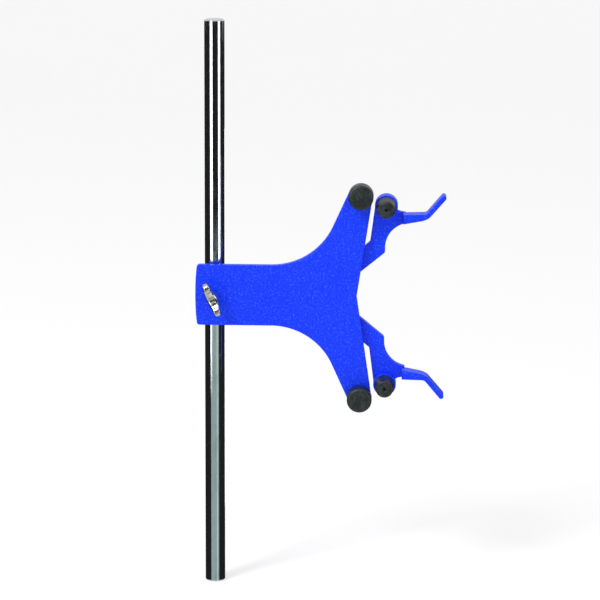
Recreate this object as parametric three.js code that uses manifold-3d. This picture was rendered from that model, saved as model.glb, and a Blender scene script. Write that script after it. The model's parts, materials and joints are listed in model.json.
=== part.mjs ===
// A retort rod with a sprung burette clamp, in millimetres.
//
// Frame: +Z runs up the rod from the centre of its foot, +X runs from the rod towards the jaws,
// and +Y runs from the clamp's face towards its back. The clamp is drawn about its own centre,
// where the wing screw's axis meets the rod's axis, and is then lifted to its height on the rod.

import * as THREE from 'three';
import { mergeVertices } from 'three/addons/utils/BufferGeometryUtils.js';
import Module from 'manifold-3d';

const wasm = await Module();
wasm.setup();

// ---------------------------------------------------------------- driving dimensions

const GAP = 0.3; // left wherever two pieces touch
const ROUND = 32; // sides of the round pieces

const rod = { radius: 6, length: 345, chamfer: 0.8 };

const CLAMP_HEIGHT = 181;

// The casting: a flat stem that forks into two arms.
const plate = {
  thickness: 5,
  front: -12.5,
  stemHalf: 18.35, // half the stem's height
  leftX: -11, // middle of the bulged left edge
  bulge: 0.8, // how far that edge stands out past its corners
  cornerRadius: 2,
  forkX: 85.5, // the inner corner between the arms
  armX: 87.2, // centre of each arm's round end
  armZ: 60,
  armRadius: 7.3,
  hollowX: 34.5, // centre of the hollow curve between stem and arm
  hollowRadius: 40.05,
  edge: 0.7, // rounding of the casting's edges
};
plate.back = plate.front + plate.thickness;
plate.hollowZ = plate.stemHalf + plate.hollowRadius;

const boss = { radius: 7.5, rise: 1.3, rim: 0.6 };
boss.face = plate.front - boss.rise;

// The hook behind the stem: a V seat that the screw drives the rod into.
const hook = { halfHeight: 13, wall: 3.6, innerX: -6.5, tipX: 5.6 };

const screw = {
  radius: 2.8,
  clearance: 0.3,
  neckRadius: 3.5,
  neckStart: 1.6, // ahead of the boss
  wingStart: 4.2,
  wingEnd: 16,
  wingSpan: 21.6,
  wingThickness: 6.6, // at the screw's axis
  tipThickness: 3.2,
  wingEdge: 0.8,
  lean: THREE.MathUtils.degToRad(24.5), // the wings stand this far off the rod's line
  noseRadius: 1.9,
  noseLength: 0.9,
};

const pad = { radius: 4.6, thickness: 1.9, travel: 2.5, rim: 0.6 };
pad.back = -rod.radius - GAP;
pad.front = pad.back - pad.thickness;

// The fixed jaws: rubber caps on studs at the arms' ends.
const jaw = { x: 87.7, z: 61.5 };
const cap = { radius: 7.45, length: 10.3, edge: 1.8 };
const capStud = { radius: 3.1, length: 8, spigotRadius: 2, spigotLength: 3.4 };

// The levers: a strip from the pivot, a round raised end for the bung, and a finger tab.
const lever = {
  front: -6.4,
  thickness: 5,
  pivotX: 80.1,
  pivotZ: 14.5,
  heading: THREE.MathUtils.degToRad(39.5),
  halfWidth: 5.3,
  endX: 102.7,
  endZ: 54.3,
  endRadius: 6.85,
  endRise: 4,
  innerCornerX: 93.2, // where the strip turns up towards its round end
  innerCornerZ: 32.3,
  outerCornerX: 102.2,
  outerCornerZ: 25.8,
  hollowRadius: 15, // the finger-side hollow below the tab
  hollowZ: 28.9,
  hollowEnd: THREE.MathUtils.degToRad(100),
  neckX: 112.2,
  neckZ: 50.5,
  edge: 0.6,
};
lever.back = lever.front + lever.thickness;

const tab = {
  front: -14.5,
  depth: 11,
  rootX: 112.9,
  rootLowZ: 44.4,
  rootHighZ: 50.1,
  kneeX: 126.6,
  kneeZ: 50.5,
  slope: THREE.MathUtils.degToRad(49.5),
  blade: 2.95, // thickness beyond the knee
  tipX: 136.7,
  tipZ: 60.3,
  edge: 0.8,
};

// The moving jaws: tapered bungs on the levers' round ends.
const bung = {
  baseRadius: 6,
  noseRadius: 5.1,
  length: 12,
  edge: 1.1,
  dimple: 1.1,
  dimpleDepth: 1.8,
  bore: 9,
};
const bungStud = { radius: 2.4, length: 8.2, spigotRadius: 1.7, spigotLength: 3 };

const pin = { radius: 3, spigotRadius: 2.2, spigotLength: 3, end: 8, grooveRadius: 2.2 };
const washer = { thickness: 0.6, radius: 5 };
const clip = { thickness: 0.8, radius: 5.2, mouth: 0.9, face: 5.9 };
clip.groove = [clip.face - 0.2, clip.face + clip.thickness + 0.2];

const spring = {
  wire: 0.6, // the wire's radius
  radius: 4.3,
  turns: 3,
  pitch: 1.45,
  start: -0.45,
  spare: 3, // how far each leg runs past its peg
  stepsPerTurn: 12,
};
spring.end = spring.start + spring.turns * spring.pitch;

const stop = { radius: 2.3, length: 5.6, along: 9 }; // holds the shut lever
const springPeg = { radius: 1.8, distance: 10.5, heading: THREE.MathUtils.degToRad(196) };
const leverPeg = { radius: 1.4, distance: 13, length: 2.6 };

// ---------------------------------------------------------------- materials

const finish = {
  chrome: { color: 0xc9ccd0, roughness: 0.12, metalness: 1 },
  blueCoat: { color: 0x1f45e8, roughness: 0.45, metalness: 0.1 },
  blackRubber: { color: 0x23282a, roughness: 0.7, metalness: 0 },
  nickel: { color: 0xc8c3ae, roughness: 0.25, metalness: 1 },
  plainSteel: { color: 0x9a9da1, roughness: 0.35, metalness: 1 },
  springSteel: { color: 0x6f7276, roughness: 0.3, metalness: 1 },
  brass: { color: 0xb59a55, roughness: 0.35, metalness: 1 },
};

function piece(name, geometry, finishName) {
  const mesh = new THREE.Mesh(geometry, new THREE.MeshStandardMaterial(finish[finishName]));
  mesh.name = name;
  return mesh;
}

// ---------------------------------------------------------------- shape helpers

// A plate with the outline shape(x, z), from y = front to y = front + thickness.
function slab(shape, front, thickness, edge = 0, curveSegments = 8) {
  const geometry = new THREE.ExtrudeGeometry(shape, {
    depth: thickness - 2 * edge,
    bevelEnabled: edge > 0,
    bevelThickness: edge,
    bevelSize: edge,
    bevelOffset: -edge,
    bevelSegments: 1,
    curveSegments,
    steps: 1,
  });
  geometry.rotateX(Math.PI / 2);
  geometry.translate(0, front + thickness - edge, 0);
  return geometry;
}

// A round piece about an axis along Y through (x, z): points are [radius, y].
function turned(points, x = 0, z = 0, sides = ROUND) {
  const profile = points.map(([radius, y]) => new THREE.Vector2(radius, y));
  const geometry = new THREE.LatheGeometry(profile, sides);
  geometry.translate(x, 0, z);
  return geometry;
}

// A plain round bar along Y, from y0 to y1.
function bar(radius, y0, y1, x = 0, z = 0, sides = ROUND) {
  return turned([[0, y0], [radius, y0], [radius, y1], [0, y1]], x, z, sides);
}

// The rounded rim of a round piece whose flat face looks to the front, from the face to the side.
function frontRim(radius, face, size, steps = 3) {
  return Array.from({ length: steps + 1 }, (_, i) => {
    const angle = (i / steps) * (Math.PI / 2);
    return [radius - size * (1 - Math.sin(angle)), face + size * (1 - Math.cos(angle))];
  });
}

function solid(geometry) {
  const bare = geometry.clone();
  bare.deleteAttribute('normal');
  bare.deleteAttribute('uv');
  const merged = mergeVertices(bare, 1e-4);
  return new wasm.Manifold(new wasm.Mesh({
    numProp: 3,
    vertProperties: new Float32Array(merged.attributes.position.array),
    triVerts: new Uint32Array(merged.index.array),
  }));
}

function carve(base, { add = [], cut = [] }) {
  let shape = solid(base);
  for (const extra of add) shape = shape.add(solid(extra));
  for (const tool of cut) shape = shape.subtract(solid(tool));
  const mesh = shape.getMesh();
  const geometry = new THREE.BufferGeometry();
  geometry.setAttribute('position', new THREE.BufferAttribute(mesh.vertProperties, 3));
  geometry.setIndex(new THREE.BufferAttribute(mesh.triVerts, 1));
  geometry.computeVertexNormals();
  return geometry;
}

// The same outline below the clamp's middle as above it.
function below(points) {
  return points.map(([x, z]) => [x, -z]);
}

// ---------------------------------------------------------------- the rod

function supportRod() {
  const { radius, length, chamfer } = rod;
  const profile = [
    [0, 0],
    [radius - chamfer, 0],
    [radius, chamfer],
    [radius, length - chamfer],
    [radius - chamfer, length],
    [0, length],
  ].map(([r, z]) => new THREE.Vector2(r, z));
  const geometry = new THREE.LatheGeometry(profile, 56);
  geometry.rotateX(Math.PI / 2);
  return piece('support_rod', geometry, 'chrome');
}

// ---------------------------------------------------------------- the clamp casting

// Upper half of the outline, from the left edge's middle round to the fork's inner corner.
function plateHalf() {
  const { leftX, bulge, cornerRadius, stemHalf, hollowX, hollowZ, hollowRadius } = plate;
  const { armX, armZ, armRadius, forkX } = plate;
  const path = new THREE.Path();
  const cornerX = leftX + bulge;
  path.moveTo(leftX, 0);
  path.quadraticCurveTo(leftX, stemHalf / 2, cornerX, stemHalf - cornerRadius);
  path.quadraticCurveTo(cornerX + 0.1, stemHalf, cornerX + cornerRadius, stemHalf);
  path.lineTo(hollowX, stemHalf);
  // The straight side of the arm touches the hollow's circle and the arm's end circle.
  const across = Math.hypot(armX - hollowX, armZ - hollowZ);
  const toArm = Math.atan2(armZ - hollowZ, armX - hollowX);
  const leave = toArm - Math.acos((hollowRadius + armRadius) / across);
  path.absarc(hollowX, hollowZ, hollowRadius, -Math.PI / 2, leave, false);
  const reach = Math.hypot(armX - forkX, armZ);
  const side = Math.atan2(armZ, armX - forkX) - Math.asin(armRadius / reach);
  path.absarc(armX, armZ, armRadius, leave + Math.PI, side - Math.PI / 2, true);
  path.lineTo(forkX, 0);
  return path.getPoints(12).map((p) => [p.x, p.y]);
}

function plateShape() {
  const upper = plateHalf();
  const lower = below(upper).reverse().slice(1, -1);
  return new THREE.Shape([...upper, ...lower].map(([x, z]) => new THREE.Vector2(x, z)));
}

// Section of the hook, seen along the rod, with its V seat behind the rod.
function hookSection() {
  const { wall, innerX, tipX } = hook;
  const root = plate.back - 1;
  const seat = (rod.radius + GAP) * Math.SQRT2;
  const outer = seat + wall * Math.SQRT2;
  const outerX = innerX - wall;
  const nose = 1.6;
  return new THREE.Shape([
    [innerX, root],
    [innerX, seat + innerX],
    [0, seat],
    [tipX, seat - tipX],
    [tipX + wall / Math.SQRT2, seat - tipX + wall / Math.SQRT2],
    [nose, outer - nose],
    [-nose, outer - nose],
    [outerX, outer + outerX],
    [outerX, root],
  ].map(([x, y]) => new THREE.Vector2(x, y)));
}

function leverPoint(along, aside) {
  const { heading, pivotX, pivotZ } = lever;
  return [
    pivotX + along * Math.cos(heading) - aside * Math.sin(heading),
    pivotZ + along * Math.sin(heading) + aside * Math.cos(heading),
  ];
}

// Places on the upper arm's back: the post that stops the lever, and the spring's peg.
function stopPlace() {
  const { innerCornerX, innerCornerZ, pivotX, pivotZ, heading, halfWidth } = lever;
  const run = Math.hypot(innerCornerX - pivotX, innerCornerZ - pivotZ);
  const bearing = Math.atan2(innerCornerZ - pivotZ, innerCornerX - pivotX) - heading;
  return leverPoint(run * Math.cos(bearing) - stop.along, halfWidth + GAP + stop.radius);
}

function springPegPlace() {
  return [
    lever.pivotX + springPeg.distance * Math.cos(springPeg.heading),
    lever.pivotZ + springPeg.distance * Math.sin(springPeg.heading),
  ];
}

function bothSides([x, z]) {
  return [[x, z], [x, -z]];
}

function clampBody() {
  const hookBlock = new THREE.ExtrudeGeometry(hookSection(), {
    depth: 2 * hook.halfHeight,
    bevelEnabled: false,
  });
  hookBlock.translate(0, 0, -hook.halfHeight);
  const bossDisc = turned([
    [0, boss.face],
    ...frontRim(boss.radius, boss.face, boss.rim, 2),
    [boss.radius, plate.front + 1],
    [0, plate.front + 1],
  ]);
  const root = plate.back - 1;
  const posts = [
    ...bothSides(stopPlace()).map(([x, z]) =>
      bar(stop.radius, root, plate.back + stop.length, x, z, 20)),
    ...bothSides(springPegPlace()).map(([x, z]) =>
      bar(springPeg.radius, root, spring.end + 0.8, x, z, 20)),
  ];
  const pocketFloor = pad.front - pad.travel - 0.2;
  const holes = [
    bar(screw.radius + screw.clearance, boss.face - 1, plate.back + 1, 0, 0, 32),
    bar(pad.radius + 0.6, pocketFloor, plate.back + 1, 0, 0, 32),
    ...bothSides([jaw.x, jaw.z]).map(([x, z]) =>
      bar(capStud.spigotRadius + GAP, plate.front - 1,
        plate.front + capStud.spigotLength + GAP, x, z, 24)),
    ...bothSides([lever.pivotX, lever.pivotZ]).map(([x, z]) =>
      bar(pin.spigotRadius + GAP, plate.back - pin.spigotLength - GAP, plate.back + 1, x, z, 24)),
  ];
  const base = slab(plateShape(), plate.front, plate.thickness, plate.edge);
  return piece('clamp_body', carve(base, { add: [hookBlock, bossDisc, ...posts], cut: holes }),
    'blueCoat');
}

// ---------------------------------------------------------------- the wing screw and its pad

// Side view of the two wings, as [distance from the screw's axis, distance ahead of the boss].
function wingShape() {
  const half = screw.wingSpan / 2;
  const { wingStart, wingEnd, neckRadius } = screw;
  const shape = new THREE.Shape();
  shape.moveTo(-neckRadius, wingStart);
  shape.lineTo(neckRadius, wingStart);
  shape.quadraticCurveTo(half * 0.72, wingStart + 0.8, half * 0.93, wingStart + 4.2);
  shape.quadraticCurveTo(half * 1.06, wingEnd - 3.2, half * 0.86, wingEnd - 0.7);
  shape.quadraticCurveTo(half * 0.62, wingEnd + 0.9, half * 0.42, wingEnd - 1.7);
  shape.quadraticCurveTo(half * 0.26, wingEnd - 2.9, 0, wingEnd - 3.4);
  shape.quadraticCurveTo(-half * 0.26, wingEnd - 2.9, -half * 0.42, wingEnd - 1.7);
  shape.quadraticCurveTo(-half * 0.62, wingEnd + 0.9, -half * 0.86, wingEnd - 0.7);
  shape.quadraticCurveTo(-half * 1.06, wingEnd - 3.2, -half * 0.93, wingStart + 4.2);
  shape.quadraticCurveTo(-half * 0.72, wingStart + 0.8, -neckRadius, wingStart);
  return shape;
}

// The wings, thickest at the screw's axis and thinner towards their tips.
function wings() {
  const { wingThickness, tipThickness, wingSpan, wingEdge, lean } = screw;
  const geometry = new THREE.ExtrudeGeometry(wingShape(), {
    depth: wingThickness - 2 * wingEdge,
    bevelEnabled: true,
    bevelThickness: wingEdge,
    bevelSize: wingEdge,
    bevelOffset: -wingEdge,
    bevelSegments: 2,
    curveSegments: 5,
  });
  geometry.translate(0, 0, wingEdge - wingThickness / 2);
  const place = geometry.attributes.position;
  for (let i = 0; i < place.count; i += 1) {
    const share = Math.abs(place.getX(i)) / (wingSpan / 2);
    const thin = 1 - share * (1 - tipThickness / wingThickness);
    place.setZ(i, place.getZ(i) * thin);
  }
  // Drawn in X and Y, they turn to point ahead of the boss and to stand nearly upright.
  geometry.rotateX(Math.PI);
  geometry.translate(0, boss.face, 0);
  geometry.rotateY(-(Math.PI / 2 + lean));
  return geometry;
}

function wingScrew() {
  const ahead = (distance) => boss.face - distance;
  const tip = pad.front - GAP;
  const shank = turned([
    [0, ahead(screw.wingEnd - 5.6)],
    [2.5, ahead(screw.wingEnd - 5.6)],
    [screw.neckRadius, ahead(screw.wingStart + 4)],
    [screw.neckRadius, ahead(screw.neckStart)],
    [screw.radius, ahead(screw.neckStart)],
    [screw.radius, tip - 0.4],
    [screw.radius - 0.4, tip],
    [screw.noseRadius, tip],
    [screw.noseRadius, tip + screw.noseLength],
    [0, tip + screw.noseLength],
  ], 0, 0, 32);
  return piece('wing_screw', carve(shank, { add: [wings()] }), 'nickel');
}

function pressurePad() {
  const socket = screw.noseRadius + GAP;
  const floor = pad.front + screw.noseLength;
  return piece('screw_pressure_pad', turned([
    [0, floor],
    [socket, floor],
    [socket, pad.front],
    [pad.radius - pad.rim, pad.front],
    [pad.radius, pad.front + pad.rim],
    [pad.radius, pad.back],
    [0, pad.back],
  ], 0, 0, 32), 'brass');
}

// ---------------------------------------------------------------- the fixed jaws

function jawCap(name, x, z) {
  const back = plate.front - GAP;
  const face = back - cap.length;
  const bore = capStud.radius + GAP;
  const boreEnd = back - capStud.length - GAP;
  return piece(name, turned([
    [0, face],
    ...frontRim(cap.radius, face, cap.edge),
    [cap.radius, back - 0.5],
    [cap.radius - 0.5, back],
    [bore, back],
    [bore, boreEnd],
    [0, boreEnd],
  ], x, z), 'blackRubber');
}

function jawStud(name, x, z) {
  const shoulder = plate.front - GAP;
  const { radius, length, spigotRadius, spigotLength } = capStud;
  return piece(name, turned([
    [0, shoulder - length],
    [radius - 0.5, shoulder - length],
    [radius, shoulder - length + 0.5],
    [radius, shoulder],
    [spigotRadius, shoulder],
    [spigotRadius, plate.front + spigotLength],
    [0, plate.front + spigotLength],
  ], x, z, 28), 'plainSteel');
}

// ---------------------------------------------------------------- the levers

function leverShape() {
  const { pivotX, pivotZ, heading, halfWidth, endX, endZ, endRadius } = lever;
  const shape = new THREE.Shape();
  shape.moveTo(...leverPoint(0, -halfWidth));
  shape.lineTo(lever.outerCornerX - 0.9, lever.outerCornerZ - 0.7);
  shape.quadraticCurveTo(lever.outerCornerX, lever.outerCornerZ,
    lever.outerCornerX, lever.outerCornerZ + 1.2);
  shape.lineTo(lever.outerCornerX, lever.hollowZ);
  shape.absarc(lever.outerCornerX + lever.hollowRadius, lever.hollowZ, lever.hollowRadius,
    Math.PI, lever.hollowEnd, true);
  shape.lineTo(tab.rootX + 1.5, lever.neckZ - 0.4);
  shape.lineTo(lever.neckX, lever.neckZ);
  const shoulder = -Math.PI / 9;
  shape.quadraticCurveTo(lever.neckX - 2.4, lever.neckZ + 0.3,
    endX + endRadius * Math.cos(shoulder), endZ + endRadius * Math.sin(shoulder));
  const reach = Math.hypot(endX - lever.innerCornerX, endZ - lever.innerCornerZ);
  const toEnd = Math.atan2(endZ - lever.innerCornerZ, endX - lever.innerCornerX);
  const side = toEnd + Math.asin(endRadius / reach);
  shape.absarc(endX, endZ, endRadius, shoulder, side + Math.PI / 2, false);
  shape.lineTo(lever.innerCornerX, lever.innerCornerZ);
  shape.lineTo(...leverPoint(0, halfWidth));
  shape.absarc(pivotX, pivotZ, halfWidth, heading + Math.PI / 2, heading + 1.5 * Math.PI, false);
  return shape;
}

function tabShape() {
  const { rootX, rootLowZ, rootHighZ, kneeX, kneeZ, slope, blade, tipX, tipZ } = tab;
  const acrossX = Math.sin(slope) * blade / 2;
  const acrossZ = Math.cos(slope) * blade / 2;
  const shape = new THREE.Shape();
  shape.moveTo(rootX, rootLowZ);
  shape.lineTo(kneeX - 3, kneeZ - 4.1);
  shape.quadraticCurveTo(kneeX + 1, kneeZ - 3.2, kneeX + 2 * acrossX + 0.4, kneeZ - 2 * acrossZ + 0.8);
  shape.absarc(tipX, tipZ, blade / 2, slope - Math.PI / 2, slope + Math.PI / 2, false);
  shape.lineTo(kneeX + 0.5, kneeZ + 0.7);
  shape.quadraticCurveTo(kneeX - 0.2, kneeZ, kneeX - 1.6, kneeZ - 0.1);
  shape.lineTo(rootX, rootHighZ);
  return shape;
}

// The upper lever. The lower one is its mirror image across the clamp's middle.
function leverGeometry() {
  const strip = slab(leverShape(), lever.front, lever.thickness, lever.edge, 9);
  const padTop = lever.front - lever.endRise;
  const endDisc = turned([
    [0, padTop],
    ...frontRim(lever.endRadius, padTop, lever.edge, 2),
    [lever.endRadius, lever.front + 1.5],
    [0, lever.front + 1.5],
  ], lever.endX, lever.endZ);
  const finger = slab(tabShape(), tab.front, tab.depth, tab.edge, 6);
  const [pegX, pegZ] = leverPoint(leverPeg.distance, 0);
  const peg = bar(leverPeg.radius, lever.back - 1, lever.back + leverPeg.length, pegX, pegZ, 18);
  const bore = bar(pin.radius + GAP, lever.front - 1, lever.back + 1, lever.pivotX, lever.pivotZ, 28);
  const studHole = bar(bungStud.spigotRadius + GAP, padTop - 1,
    padTop + bungStud.spigotLength + GAP, lever.endX, lever.endZ, 22);
  return carve(strip, { add: [endDisc, finger, peg], cut: [bore, studHole] });
}

// A copy turned over across the clamp's middle, with its faces pointing out again.
function mirrored(geometry) {
  const copy = geometry.index ? geometry.clone() : mergeVertices(geometry);
  copy.scale(1, 1, -1);
  const order = copy.index.array;
  for (let i = 0; i < order.length; i += 3) {
    [order[i], order[i + 2]] = [order[i + 2], order[i]];
  }
  return copy;
}

function movingBung(name, x, z) {
  const back = lever.front - lever.endRise - GAP;
  const face = back - bung.length;
  const bore = bungStud.radius + GAP;
  return piece(name, turned([
    [0, face + bung.dimpleDepth],
    [bung.dimple * 0.7, face + bung.dimpleDepth],
    [bung.dimple, face],
    ...frontRim(bung.noseRadius, face, bung.edge),
    [bung.baseRadius, back - 0.6],
    [bung.baseRadius - 0.4, back],
    [bore, back],
    [bore, back - bung.bore],
    [0, back - bung.bore],
  ], x, z), 'blackRubber');
}

function leverStud(name, x, z) {
  const padTop = lever.front - lever.endRise;
  const shoulder = padTop - GAP;
  const { radius, length, spigotRadius, spigotLength } = bungStud;
  return piece(name, turned([
    [0, shoulder - length],
    [radius - 0.4, shoulder - length],
    [radius, shoulder - length + 0.4],
    [radius, shoulder],
    [spigotRadius, shoulder],
    [spigotRadius, padTop + spigotLength],
    [0, padTop + spigotLength],
  ], x, z, 24), 'plainSteel');
}

// ---------------------------------------------------------------- the pivots

function pivotPin(name, x, z) {
  const { radius, spigotRadius, spigotLength, end, grooveRadius } = pin;
  const [grooveStart, grooveEnd] = clip.groove;
  const shoulder = plate.back + GAP;
  return piece(name, turned([
    [0, plate.back - spigotLength],
    [spigotRadius, plate.back - spigotLength],
    [spigotRadius, shoulder],
    [radius, shoulder],
    [radius, grooveStart],
    [grooveRadius, grooveStart],
    [grooveRadius, grooveEnd],
    [radius, grooveEnd],
    [radius, end - 0.5],
    [radius - 0.5, end],
    [0, end],
  ], x, z, 28), 'plainSteel');
}

// A ring about the pin, closed on itself.
function ring(name, x, z, y0) {
  const inner = pin.radius + GAP;
  return piece(name, turned([
    [inner, y0],
    [washer.radius, y0],
    [washer.radius, y0 + washer.thickness],
    [inner, y0 + washer.thickness],
    [inner, y0],
  ], x, z, 28), 'plainSteel');
}

// A snap-in clip: a ring with an open mouth that faces away from the rod.
function retainingClip(name, x, z) {
  const inner = pin.grooveRadius + GAP;
  const mouth = clip.mouth;
  const shape = new THREE.Shape();
  shape.absarc(x, z, clip.radius, mouth, 2 * Math.PI - mouth, false);
  shape.absarc(x, z, inner, 2 * Math.PI - mouth, mouth, true);
  return piece(name, slab(shape, clip.face, clip.thickness, 0, 16), 'springSteel');
}

// The torsion spring's wire, about the pivot: a straight leg under the lever's peg, the coils,
// and a straight leg over the casting's peg. Each leg touches its peg and the coil's circle.
function springRoute() {
  const { radius, turns, start, end, wire, spare, stepsPerTurn } = spring;
  const leg = (distance, pegRadius) => {
    const offset = radius + wire + GAP + pegRadius;
    return {
      turn: Math.acos(offset / distance),
      length: Math.sqrt(distance ** 2 - offset ** 2) + spare,
    };
  };
  const moving = leg(leverPeg.distance, leverPeg.radius);
  const fixed = leg(springPeg.distance, springPeg.radius);
  const first = lever.heading + moving.turn;
  const last = springPeg.heading - fixed.turn + 2 * Math.PI * turns;
  const steps = Math.round(stepsPerTurn * (last - first) / (2 * Math.PI));
  const onCoil = (share) => {
    const angle = first + share * (last - first);
    return new THREE.Vector3(radius * Math.cos(angle), start + share * (end - start),
      radius * Math.sin(angle));
  };
  const alongLeg = (angle, length) =>
    new THREE.Vector3(-Math.sin(angle) * length, 0, Math.cos(angle) * length);
  return [
    onCoil(0).add(alongLeg(first, -moving.length)),
    ...Array.from({ length: steps + 1 }, (_, i) => onCoil(i / steps)),
    onCoil(1).add(alongLeg(last, fixed.length)),
  ];
}

function torsionSpring() {
  const route = springRoute();
  const section = new THREE.Shape();
  section.absarc(0, 0, spring.wire, 0, 2 * Math.PI, false);
  const geometry = new THREE.ExtrudeGeometry(section, {
    extrudePath: new THREE.CatmullRomCurve3(route, false, 'centripetal'),
    steps: route.length + 6,
    curveSegments: 3,
    bevelEnabled: false,
  });
  geometry.translate(lever.pivotX, 0, lever.pivotZ);
  return geometry;
}

// ---------------------------------------------------------------- assembly

const object = new THREE.Group();
object.add(supportRod());

const clamp = new THREE.Group();
clamp.position.z = CLAMP_HEIGHT;
object.add(clamp);
clamp.add(clampBody(), wingScrew(), pressurePad());

const upperLever = leverGeometry();
const upperSpring = torsionSpring();
for (const [side, sign] of [['upper', 1], ['lower', -1]]) {
  const upper = sign > 0;
  const at = { x: lever.pivotX, z: sign * lever.pivotZ };
  clamp.add(
    jawStud(`${side}_jaw_stud`, jaw.x, sign * jaw.z),
    jawCap(`${side}_jaw_cap`, jaw.x, sign * jaw.z),
    piece(`${side}_lever`, upper ? upperLever : mirrored(upperLever), 'blueCoat'),
    leverStud(`${side}_lever_stud`, lever.endX, sign * lever.endZ),
    movingBung(`${side}_lever_bung`, lever.endX, sign * lever.endZ),
    pivotPin(`${side}_pivot_pin`, at.x, at.z),
    ring(`${side}_thrust_washer`, at.x, at.z, plate.back + (lever.front - plate.back
      - washer.thickness) / 2),
    piece(`${side}_torsion_spring`, upper ? upperSpring : mirrored(upperSpring), 'springSteel'),
    ring(`${side}_back_washer`, at.x, at.z, clip.face - GAP - washer.thickness),
    retainingClip(`${side}_retaining_clip`, at.x, at.z),
  );
}

export default object;
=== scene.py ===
"""A retort rod with a sprung burette clamp: its finished surfaces, materials, light and camera.

Lengths are millimetres until a mesh is made. +Z runs up the rod from its foot, +X runs to the jaws
and +Y from the clamp's face to its back. The clamp's pieces are drawn about its own centre and then
lifted to its height on the rod. A flat curve holds complex numbers, x + i z seen from the front, so
a turn is one multiplication and a mirror image is a conjugate. A curve is a function of a share
that runs from 0 to 1 along it.
"""
import json
import math

import bpy
import numpy as np
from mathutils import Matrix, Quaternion, Vector


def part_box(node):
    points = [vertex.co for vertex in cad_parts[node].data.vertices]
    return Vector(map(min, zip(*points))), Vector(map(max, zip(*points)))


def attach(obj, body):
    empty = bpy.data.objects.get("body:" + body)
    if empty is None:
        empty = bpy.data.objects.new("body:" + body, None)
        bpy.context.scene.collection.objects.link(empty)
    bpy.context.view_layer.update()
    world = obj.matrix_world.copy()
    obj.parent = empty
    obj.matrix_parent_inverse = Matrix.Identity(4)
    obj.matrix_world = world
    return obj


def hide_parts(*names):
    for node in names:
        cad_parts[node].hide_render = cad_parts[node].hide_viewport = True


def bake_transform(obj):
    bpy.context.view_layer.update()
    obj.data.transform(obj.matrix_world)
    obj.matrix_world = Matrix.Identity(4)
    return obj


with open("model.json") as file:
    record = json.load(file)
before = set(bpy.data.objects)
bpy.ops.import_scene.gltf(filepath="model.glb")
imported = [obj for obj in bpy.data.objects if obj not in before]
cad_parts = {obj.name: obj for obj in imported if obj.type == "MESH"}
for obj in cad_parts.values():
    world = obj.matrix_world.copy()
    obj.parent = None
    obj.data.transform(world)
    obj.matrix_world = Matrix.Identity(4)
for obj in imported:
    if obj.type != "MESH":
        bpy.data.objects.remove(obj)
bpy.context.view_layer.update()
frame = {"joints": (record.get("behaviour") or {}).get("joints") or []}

# -------------------------------- sizes from the frame

MM = 0.001
GAP = 0.3  # left wherever two pieces touch
BURIED = 1  # how far inside a casting each shape that grows out of it starts
JOINTS = {joint["name"]: joint for joint in frame["joints"]}


def span(node):
    """Lowest and highest corner of a CAD node."""
    low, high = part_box(node)
    return np.array(low) / MM, np.array(high) / MM


SCREW_ORIGIN = np.array(JOINTS["screw_turn"]["pos_m"]) / MM
LEVER_ORIGIN = np.array(JOINTS["upper_lever_hinge"]["pos_m"]) / MM
CLAMP_HEIGHT = SCREW_ORIGIN[2]
BOSS_FACE = SCREW_ORIGIN[1]


def round_place(node):
    """Centre in the clamp's plane, radius, front and back of a round CAD node that lies along Y."""
    low, high = span(node)
    middle = (low + high) / 2
    return complex(middle[0], middle[2] - CLAMP_HEIGHT), (high[0] - low[0]) / 2, low[1], high[1]


# The casting's flat plate.
PLATE_FRONT = BOSS_FACE + 1.3
PLATE_BACK = PLATE_FRONT + 5
STEM_HALF = 18.35
STEM_LEFT = span("clamp_body")[0][0]
LEFT_BULGE = 0.8
STEM_CORNER = 2
FORK = 85.5 + 0j  # the inner corner between the arms
FORK_SPINE = 58 + 0j  # where the spine parts into the two arms
ARM_END = 87.2 + 60j
ARM_RADIUS = 7.3
HOLLOW_RADIUS = 40.05
HOLLOW = 34.5 + 1j * (STEM_HALF + HOLLOW_RADIUS)
HOLLOW_PART = math.radians(-68)  # the hollow belongs to the stem up to here, then to the arm
PLATE_EDGE = 0.7

BOSS_RADIUS = 7.5
BOSS_RIM = 0.6
BOSS_RING = 9.2  # the plate's face starts here

PAD_RADIUS = span("screw_pressure_pad")[1][0]
PAD_FRONT = span("screw_pressure_pad")[0][1]
PAD_BACK = span("screw_pressure_pad")[1][1]
POCKET_RADIUS = PAD_RADIUS + 0.6
POCKET_FLOOR = PAD_FRONT - 2.7

ROD_RADIUS = span("support_rod")[1][0]
ROD_LENGTH = span("support_rod")[1][2]

HOOK_HALF_HEIGHT = 13
HOOK_WALL = 3.6
HOOK_INNER_X = -6.5
HOOK_TIP_X = 5.6
HOOK_EDGE = 0.9

# The screw: distances along it count from the boss towards the front.
SCREW_RADIUS = 2.8
NECK_RADIUS = 3.5
NECK_START = 1.6
HUB_RADIUS = 2.5
HUB_DEPTH = 5.6  # from the wings' far ends back to the hub's
HUB_LENGTH = 4  # beyond the wings' near ends
WING_START = 4.2
WING_END = 16
WING_HALF_SPAN = 10.8
WING_THICKNESS = 6.6
WING_TIP_THICKNESS = 3.2
WING_EDGE = 1.5
WING_LEAN = math.radians(24.5)  # the wings stand this far off the rod's line
THREAD_PITCH = 1
THREAD_DEPTH = 0.5
THREAD_SLOPE = 1.3  # over 1, so that the thread's roots are flat
THREAD_ROWS = 14  # in one pitch
THREAD_TAPER = 0.5  # the depth grows over this length by the neck
THREAD_FADE = (0.9, 0.3)  # and fades between these distances from the shank's end
NOSE_RADIUS = 1.9
NOSE_LENGTH = 0.9

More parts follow.
